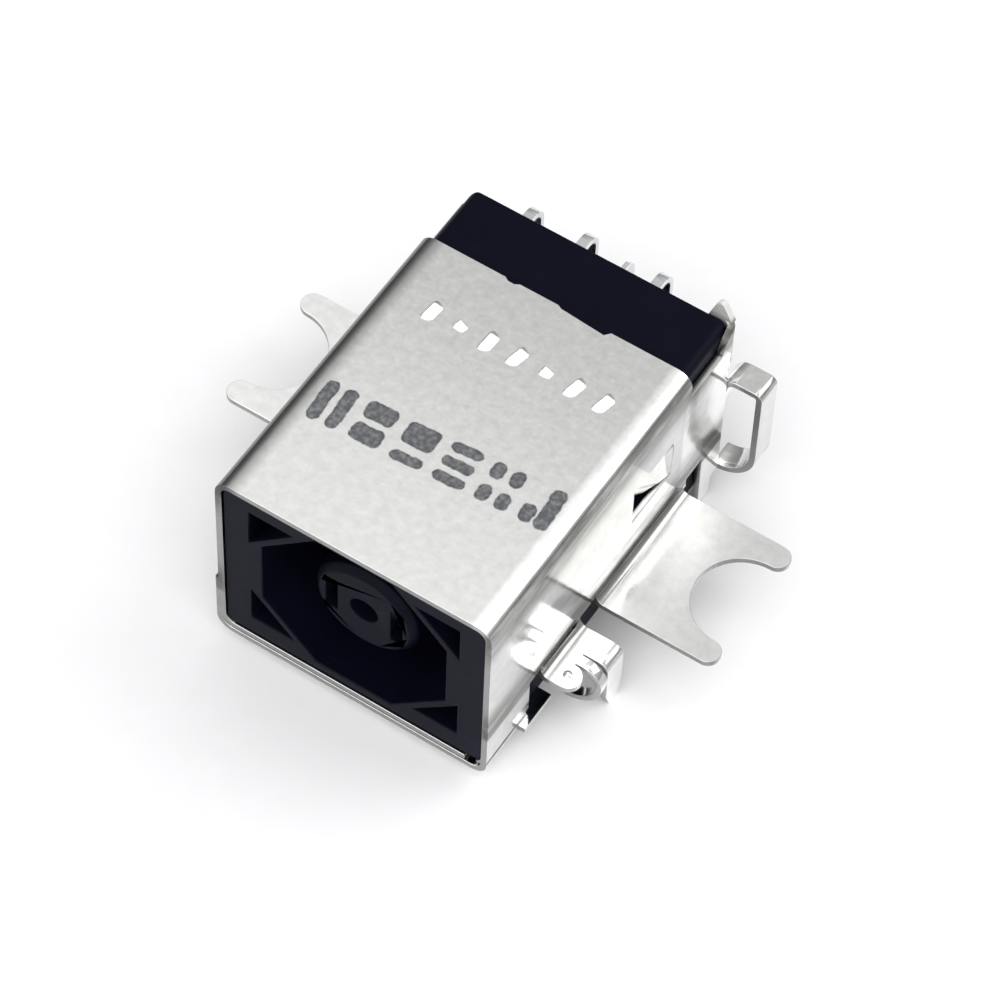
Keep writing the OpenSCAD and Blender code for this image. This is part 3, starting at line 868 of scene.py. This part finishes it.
@dataclass
class FramePiece:
    """A welded copy of a frame node with slightly rounded edges."""

    node: str
    slot: Slot
    edge_round: float = 0.03
    sharp_deg: float = 32.0
    smooth_deg: float = 48.0
    flat_deg: float = 0.4
    segments: int = 2
    weld: float = 0.0005
    normal_weight: int = 80
    cut_width: float = 0.0
    keep_off: float = 0.15
    stray_share: float = 1.2
    stray_reach: float = 2.2
    tries: int = 6

    def build(self, frame: dict) -> bpy.types.Object:
        """Builds the piece from its frame node.


        Returns:
            The piece, riding on its body in place of the node.
        """
        source = frame["nodes"][self.node]
        shape = bmesh.new()
        shape.from_mesh(source.data)
        bmesh.ops.remove_doubles(shape, verts=shape.verts, dist=self.weld * MM)
        bmesh.ops.dissolve_degenerate(shape, edges=shape.edges, dist=self.weld * MM)
        flat = math.radians(self.flat_deg)
        bmesh.ops.dissolve_limit(shape, angle_limit=flat, verts=shape.verts, edges=shape.edges)
        self.mark_cuts(shape)
        shape = self.rounded(shape)
        mesh = bpy.data.meshes.new(f"{self.node}_dressed")
        shape.to_mesh(mesh)
        shape.free()
        mesh.materials.clear()
        mesh.shade_smooth()
        mesh.set_sharp_from_angle(angle=math.radians(self.smooth_deg))
        made = bpy.data.objects.new(f"{self.node}_dressed", mesh)
        self.weigh(made)
        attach(made, Body.ROOT.value)
        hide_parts(self.node)
        LOG.info("%s: %d faces", made.name, len(made.data.polygons))
        return made

    def mark_cuts(self, shape: bmesh.types.BMesh) -> None:
        """Marks the narrow faces along the sheet's cut edges.

        A smooth region is a cut edge if its area over half its outline is less than
        cut_width, which is a little more than the sheet's thickness.

        Args:
            shape: The welded shape.
        """
        layer = shape.faces.layers.float.new(CUT_LAYER)
        limit = math.radians(self.sharp_deg)
        left = set(shape.faces)
        while left:
            region = [left.pop()]
            outline = 0.0
            for face in region:
                for edge in face.edges:
                    smooth = len(edge.link_faces) == 2 and edge.calc_face_angle(0.0) <= limit
                    if not smooth:
                        outline += edge.calc_length()
                        continue
                    other = next(f for f in edge.link_faces if f is not face)
                    if other in left:
                        left.remove(other)
                        region.append(other)
            area = sum(face.calc_area() for face in region)
            if outline and 2.0 * area / outline < self.cut_width * MM:
                for face in region:
                    face[layer] = 1.0

    def rounded(self, plain: bmesh.types.BMesh) -> bmesh.types.BMesh:
        """Rounds the sharp edges, but leaves those that can't be rounded cleanly.

        Args:
            plain: The welded shape, which is freed.

        Returns:
            The rounded shape, with the new faces marked.
        """
        surface = BVHTree.FromBMesh(plain)
        spoilt: list[tuple[Vector, float]] = []
        for _ in range(self.tries):
            shape = plain.copy()
            self.round_edges(shape, spoilt)
            strays = self.strays(shape, surface)
            if not strays:
                break
            LOG.info("%s: %d stray points, rounding again", self.node, len(strays))
            spoilt += strays
        plain.free()
        return shape

    def strays(self, shape: bmesh.types.BMesh, surface: BVHTree) -> list[tuple[Vector, float]]:
        """Finds the rounded points that left the surface they come from.

        Args:
            shape: The rounded shape.
            surface: The welded shape's surface.

        Returns:
            Each stray point with the reach round it in which edges stay sharp.
        """
        found = []
        for vert in shape.verts:
            away = surface.find_nearest(vert.co)[3]
            if away > self.edge_round * MM * self.stray_share:
                found.append((vert.co.copy(), self.keep_off * MM + self.stray_reach * away))
        return found

    def round_edges(self, shape: bmesh.types.BMesh, spoilt: list[tuple[Vector, float]]) -> None:
        """Rounds the sharp edges and marks the faces that this makes.

        Args:
            shape: The welded shape.
            spoilt: Places whose edges stay sharp, each with its reach.
        """
        limit = math.radians(self.sharp_deg)
        sharp = []
        for edge in shape.edges:
            if len(edge.link_faces) != 2 or edge.calc_face_angle(0.0) <= limit:
                continue
            ends = [v.co for v in edge.verts]
            if all((place - end).length > reach for place, reach in spoilt for end in ends):
                sharp.append(edge)
        made = bmesh.ops.bevel(
            shape,
            geom=sharp,
            offset=self.edge_round * MM,
            offset_type="OFFSET",
            segments=self.segments,
            profile=0.5,
            affect="EDGES",
            clamp_overlap=False,
            loop_slide=True,
        )
        layer = shape.faces.layers.float.new(EDGE_LAYER)
        for face in made["faces"]:
            if face.is_valid:
                face[layer] = 1.0

    def weigh(self, piece: bpy.types.Object) -> None:
        """Gives the piece normals that follow its large faces.

        Args:
            piece: The piece with its mesh.
        """
        bpy.context.scene.collection.objects.link(piece)
        modifier = piece.modifiers.new("normals", "WEIGHTED_NORMAL")
        modifier.keep_sharp = True
        modifier.weight = self.normal_weight
        apply_modifiers(piece)

    def dress(self, piece: bpy.types.Object, material: bpy.types.Material) -> None:
        """Gives the whole piece one material."""
        piece.data.materials.clear()
        piece.data.materials.append(material)


@dataclass
class RaisedRow:
    """A row of small marks coined up from the sheet, made by Geometry Nodes."""

    name: str
    count: int
    pitch: float
    long: float
    wide: float
    height: float
    place: Vector
    turn_deg: float = 0.0
    pip_every: int = 3
    pip_share: float = 0.45
    lean: float = 0.0
    fullness: float = 2.0
    sink: float = 0.004
    skirt: float = 1.1
    under: float = 4.0
    grid: tuple[int, int] = (25, 37)
    spin_swing: float = 0.12
    seed: int = 4

    def build(self, material: bpy.types.Material) -> bpy.types.Object:
        """Builds the row as one plain mesh.

        Args:
            material: The sheet's own material.

        Returns:
            The row, riding on the frame.
        """
        settings = self.settings(material)
        tree = self.tree(settings)
        holder = bpy.data.objects.new(self.name, bpy.data.meshes.new(self.name))
        bpy.context.scene.collection.objects.link(holder)
        modifier = holder.modifiers.new("row", "NODES")
        modifier.node_group = tree
        for item in tree.interface.items_tree:
            if item.name in settings:
                modifier[item.identifier] = settings[item.name][1]
        apply_modifiers(holder)
        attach(holder, Body.ROOT.value)
        LOG.info("%s: %d marks, %d faces", self.name, self.count, len(holder.data.polygons))
        return holder

    def settings(self, material: bpy.types.Material) -> dict[str, tuple[str, object]]:
        """Lists the tree's inputs.

        Args:
            material: The sheet's own material.

        Returns:
            The kind and the value of each input.
        """
        return {
            "Count": ("Int", self.count),
            "Pitch": ("Float", self.pitch * MM),
            "Long": ("Float", self.long * MM),
            "Wide": ("Float", self.wide * MM),
            "Height": ("Float", self.height * MM),
            "Lean": ("Float", self.lean),
            "Fullness": ("Float", self.fullness),
            "Sink": ("Float", self.sink * MM),
            "Pip Every": ("Int", self.pip_every),
            "Pip Share": ("Float", self.pip_share),
            "Turn": ("Float", math.radians(self.turn_deg)),
            "Place": ("Vector", tuple(self.place * MM)),
            "Seed": ("Int", self.seed),
            "Material": ("Material", material),
        }

    def tree(self, settings: dict[str, tuple[str, object]]) -> bpy.types.NodeTree:
        """Builds the node tree: a pad, raised in the middle, at each point of a line.

        Args:
            settings: The kind and the value of each input.

        Returns:
            The tree, with named inputs for the sizes.
        """
        tree = bpy.data.node_groups.new("raised_row", "GeometryNodeTree")
        for label, (kind, _) in settings.items():
            tree.interface.new_socket(label, in_out="INPUT", socket_type=f"NodeSocket{kind}")
        tree.interface.new_socket("Geometry", in_out="OUTPUT", socket_type="NodeSocketGeometry")
        graph = Graph(tree)
        sizes = graph.node("NodeGroupInput").outputs
        pad = self.pad(graph, sizes)
        points = self.points(graph, sizes)
        index = graph.node("GeometryNodeInputIndex").outputs[0]
        turn_index = graph.math("MODULO", index, sizes["Pip Every"])
        is_pip = graph.math("COMPARE", turn_index, 1.0)
        shorter = graph.times(is_pip, graph.math("SUBTRACT", 1.0, sizes["Pip Share"]))
        length = graph.math("SUBTRACT", 1.0, shorter)
        scale = graph.join(1.0, length, 1.0)
        jitter = graph.node("FunctionNodeRandomValue", data_type="FLOAT")
        for label, value in (("Min", -self.spin_swing), ("Max", self.spin_swing)):
            next(s for s in jitter.inputs if s.name == label and s.enabled).default_value = value
        graph.feed(next(s for s in jitter.inputs if s.name == "Seed" and s.enabled), sizes["Seed"])
        spin = next(s for s in jitter.outputs if s.enabled)
        rotation = graph.join(z=graph.math("ADD", spin, sizes["Turn"]))
        marks = {"Points": points, "Instance": pad, "Scale": scale}
        placed = graph.node("GeometryNodeInstanceOnPoints", marks)
        spun = {"Instances": placed.outputs[0], "Rotation": rotation}
        turned = graph.node("GeometryNodeRotateInstances", spun)
        real = graph.node("GeometryNodeRealizeInstances", {0: turned.outputs[0]})
        moved = graph.node(
            "GeometryNodeTransform", {"Geometry": real.outputs[0], "Translation": sizes["Place"]}
        )
        smooth = graph.node("GeometryNodeSetShadeSmooth", {"Geometry": moved.outputs[0]})
        coated = graph.node(
            "GeometryNodeSetMaterial",
            {"Geometry": smooth.outputs[0], "Material": sizes["Material"]},
        )
        graph.node("NodeGroupOutput", {"Geometry": coated.outputs[0]})
        return tree

    def points(self, graph: Graph, sizes: Outputs) -> Socket:
        """Wires the line of points that the marks stand on.

        Args:
            graph: The tree's graph.
            sizes: The tree's inputs.

        Returns:
            The line's socket.
        """
        gaps = graph.math("SUBTRACT", sizes["Count"], 1.0)
        start = graph.times(gaps, sizes["Pitch"], -0.5)
        first = graph.join(start)
        step = graph.join(sizes["Pitch"])
        line = graph.node(
            "GeometryNodeMeshLine",
            {"Count": sizes["Count"], "Start Location": first, "Offset": step},
            mode="OFFSET",
        )
        return line.outputs[0]

    def pad(self, graph: Graph, sizes: Outputs) -> Socket:
        """Wires one pad: a rounded dash whose ridge leans to one side.

        Args:
            graph: The tree's graph.
            sizes: The tree's inputs.

        Returns:
            The pad's socket.
        """
        width = graph.times(sizes["Wide"], self.skirt)
        length = graph.times(sizes["Long"], self.skirt)
        under = graph.times(sizes["Sink"], self.under)
        size = graph.join(width, length, under)
        across_count, along_count = self.grid
        block = graph.node(
            "GeometryNodeMeshCube",
            {"Size": size, "Vertices X": across_count, "Vertices Y": along_count, "Vertices Z": 2},
        ).outputs[0]
        x, y, z = graph.split(graph.node("GeometryNodeInputPosition").outputs[0])
        half_wide = graph.times(sizes["Wide"], 0.5)
        half_long = graph.times(sizes["Long"], 0.5)
        ridge = graph.times(sizes["Lean"], half_wide, -1.0)
        off = graph.math("SUBTRACT", x, ridge)
        sides = []
        for sign in (-1.0, 1.0):
            reach = graph.math("ADD", graph.times(sizes["Lean"], sign), 1.0)
            reach = graph.times(reach, half_wide)
            sides.append(graph.math("DIVIDE", graph.times(off, sign), reach))
        across = graph.math("MAXIMUM", *sides)
        straight = graph.math("SUBTRACT", half_long, half_wide)
        beyond = graph.math("MAXIMUM", graph.math("SUBTRACT", graph.math("ABSOLUTE", y), straight), 0.0)
        along = graph.math("DIVIDE", beyond, half_wide)
        squares = graph.math("ADD", graph.math("POWER", across, 2.0), graph.math("POWER", along, 2.0))
        away = graph.math("POWER", graph.math("SQRT", squares), sizes["Fullness"])
        share = graph.math("SUBTRACT", 1.0, away, clamp=True)
        rise = graph.times(share, sizes["Height"])
        sunk = graph.times(sizes["Sink"], self.under / 2 + 1.0)
        lowered = graph.math("SUBTRACT", rise, sunk)
        offset = graph.join(z=lowered)
        upper = graph.math("GREATER_THAN", z, 0.0)
        raised = {"Geometry": block, "Selection": upper, "Offset": offset}
        return graph.node("GeometryNodeSetPosition", raised).outputs[0]


@dataclass
class Jack:
    """The whole jack: shield, housing and four contacts."""

    marks_at: Triple = (0.15, 11.62, 4.95)
    dimple_at: Triple = (7.4, 4.54, -3.05)

    def pieces(self) -> list[tuple[FramePiece, Finish]]:
        """Lists the frame pieces with their finishes."""
        contacts = ("left_inner_contact", "right_inner_contact", "centre_contact")
        listed: list[tuple[FramePiece, Finish]] = [
            (FramePiece("shield_shell", Slot.STEEL, 0.035, cut_width=0.33), STEEL),
            (FramePiece("housing", Slot.MOULDING, 0.06), MOULDING),
            (FramePiece("outer_contact", Slot.TINNED, 0.02), TINNED),
        ]
        listed += [(FramePiece(name, Slot.TINNED, 0.02), TINNED) for name in contacts]
        return listed

    def build(self, frame: dict, effects: Effects) -> None:
        """Builds and dresses every piece.

        Args:
            effects: The shared effects.
        """
        materials: dict[str, bpy.types.Material] = {}
        for piece, finish in self.pieces():
            if finish.name not in materials:
                materials[finish.name] = finish.material(effects)
            piece.dress(piece.build(frame), materials[finish.name])
        steel = materials[STEEL.name]
        RaisedRow(
            name="coined_marks",
            count=7,
            pitch=1.36,
            long=1.1,
            wide=0.54,
            height=0.2,
            lean=0.6,
            fullness=1.15,
            place=Vector(self.marks_at),
            turn_deg=-8.0,
        ).build(steel)
        RaisedRow(
            name="tab_dimple",
            count=1,
            pitch=1.0,
            long=0.42,
            wide=0.4,
            height=0.09,
            pip_every=9,
            place=Vector(self.dimple_at),
        ).build(steel)


@dataclass(frozen=True)
class Softbox:
    """A flat studio lamp that faces the jack."""

    name: str
    towards: Triple
    distance: float
    size: Span
    radiance: float

    def build(self, target: Vector) -> None:
        """Builds the lamp.

        Args:
            target: The point that the lamp faces.
        """
        data = bpy.data.lights.new(self.name, "AREA")
        data.shape = "RECTANGLE"
        data.size, data.size_y = self.size
        data.energy = self.radiance * math.pi * self.size[0] * self.size[1]
        lamp = bpy.data.objects.new(self.name, data)
        direction = Vector(self.towards).normalized()
        lamp.location = target + direction * self.distance
        level = (Vector((1.0, 0.0, 0.0)) - direction * direction.x).normalized()
        turn = Matrix((level, direction.cross(level), direction)).transposed()
        lamp.rotation_euler = turn.to_euler()
        bpy.context.scene.collection.objects.link(lamp)
        LOG.info("lamp %s: %.3f W", self.name, data.energy)


@dataclass
class Studio:
    """Floor, world, lamps and camera."""

    floor_size: float = 1.6
    floor_colour: Colour = (0.78, 0.78, 0.79)
    floor_roughness: float = 0.9
    floor_specular: float = 0.1
    fibre_scale: float = 0.9
    fibre: Ramp = Ramp(0.2, 0.8, 0.985, 1.0)
    sky_above: Ramp = Ramp(-0.1, 0.9, 0.34, 0.68)
    sky_side: Ramp = Ramp(-1.0, 0.8, 0.72, 1.6)
    sky_front: Ramp = Ramp(0.2, -0.7, 0.0, 1.4)
    camera_at: Triple = (0.05580, -0.08256, 0.15574)
    azimuth_deg: float = 30.81
    elevation_deg: float = 55.80
    roll_deg: float = 2.65
    lens: float = 167.87
    sensor: float = 36.0
    clip: Span = (0.005, 10.0)
    lamps_face: Triple = (0.0, 0.009, 0.0)
    lamps: tuple[Softbox, ...] = (
        Softbox("key", (0.543, 0.524, 0.656), 0.26, (0.17, 0.19), 2.0),
        Softbox("top", (-0.24, 0.16, 0.95), 0.12, (0.16, 0.08), 0.5),
    )

    def build(self, low: Vector) -> None:
        """Builds the studio round the jack.

        Args:
            low: The lowest corner of the jack's box.
        """
        self.floor(low.z)
        self.world()
        for lamp in self.lamps:
            lamp.build(Vector(self.lamps_face))
        self.camera()

    def floor(self, level: float) -> None:
        """Builds the pale floor.

        Args:
            level: The height of the floor.
        """
        half = self.floor_size / 2
        mesh = bpy.data.meshes.new("floor")
        corners = [(-half, -half, level), (half, -half, level), (half, half, level), (-half, half, level)]
        mesh.from_pydata(corners, [], [(0, 1, 2, 3)])
        paper = bpy.data.materials.new("floor_paper")
        graph = Graph.of(paper)
        place = graph.node("ShaderNodeTexCoord").outputs["Object"]
        fibre = graph.ramp(graph.noise(place, self.fibre_scale * PER_MM, detail=3.0), self.fibre)
        shader = graph.node(
            "ShaderNodeBsdfPrincipled",
            {
                "Base Color": graph.scaled(self.floor_colour, fibre),
                "Roughness": self.floor_roughness,
                "Specular IOR Level": self.floor_specular,
            },
        )
        graph.node("ShaderNodeOutputMaterial", {"Surface": shader.outputs[0]})
        mesh.materials.append(paper)
        made = bpy.data.objects.new("floor", mesh)
        bpy.context.scene.collection.objects.link(made)
        made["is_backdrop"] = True

    def world(self) -> None:
        """Builds the soft surround: brighter above, to the right and behind the camera."""
        world = bpy.data.worlds.new("studio")
        graph = Graph.of(world)
        x, y, z = graph.split(graph.node("ShaderNodeTexCoord").outputs["Generated"])
        level = graph.times(graph.ramp(z, self.sky_above), graph.ramp(x, self.sky_side))
        level = graph.math("ADD", level, graph.ramp(y, self.sky_front))
        back = graph.node("ShaderNodeBackground", {"Color": (1.0, 1.0, 1.0, 1.0), "Strength": level})
        graph.node("ShaderNodeOutputWorld", {"Surface": back.outputs[0]})
        bpy.context.scene.world = world

    def camera(self) -> None:
        """Builds the camera."""
        data = bpy.data.cameras.new("camera")
        data.lens = self.lens
        data.sensor_width = self.sensor
        data.clip_start, data.clip_end = self.clip
        azimuth, elevation, roll = (
            math.radians(a) for a in (self.azimuth_deg, self.elevation_deg, self.roll_deg)
        )
        flat = math.cos(elevation)
        back = Vector(
            (math.sin(azimuth) * flat, -math.cos(azimuth) * flat, math.sin(elevation))
        )
        level_right = Vector((0.0, 0.0, 1.0)).cross(back).normalized()
        level_up = back.cross(level_right)
        right = math.cos(roll) * level_right + math.sin(roll) * level_up
        up = -math.sin(roll) * level_right + math.cos(roll) * level_up
        turn = Matrix((right, up, back)).transposed().to_4x4()
        made = bpy.data.objects.new("camera", data)
        made.matrix_world = Matrix.Translation(self.camera_at) @ turn
        bpy.context.scene.collection.objects.link(made)
        bpy.context.scene.camera = made


def main() -> None:
    """Builds the dressed jack in its studio."""
    logging.basicConfig(level=logging.INFO, format="%(name)s: %(message)s")
    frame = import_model()
    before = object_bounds()
    scene = bpy.context.scene
    scene.view_settings.view_transform = "Standard"
    Jack().build(frame, Effects())
    Studio().build(Vector(before[0]))


if __name__ == "__main__":
    main()
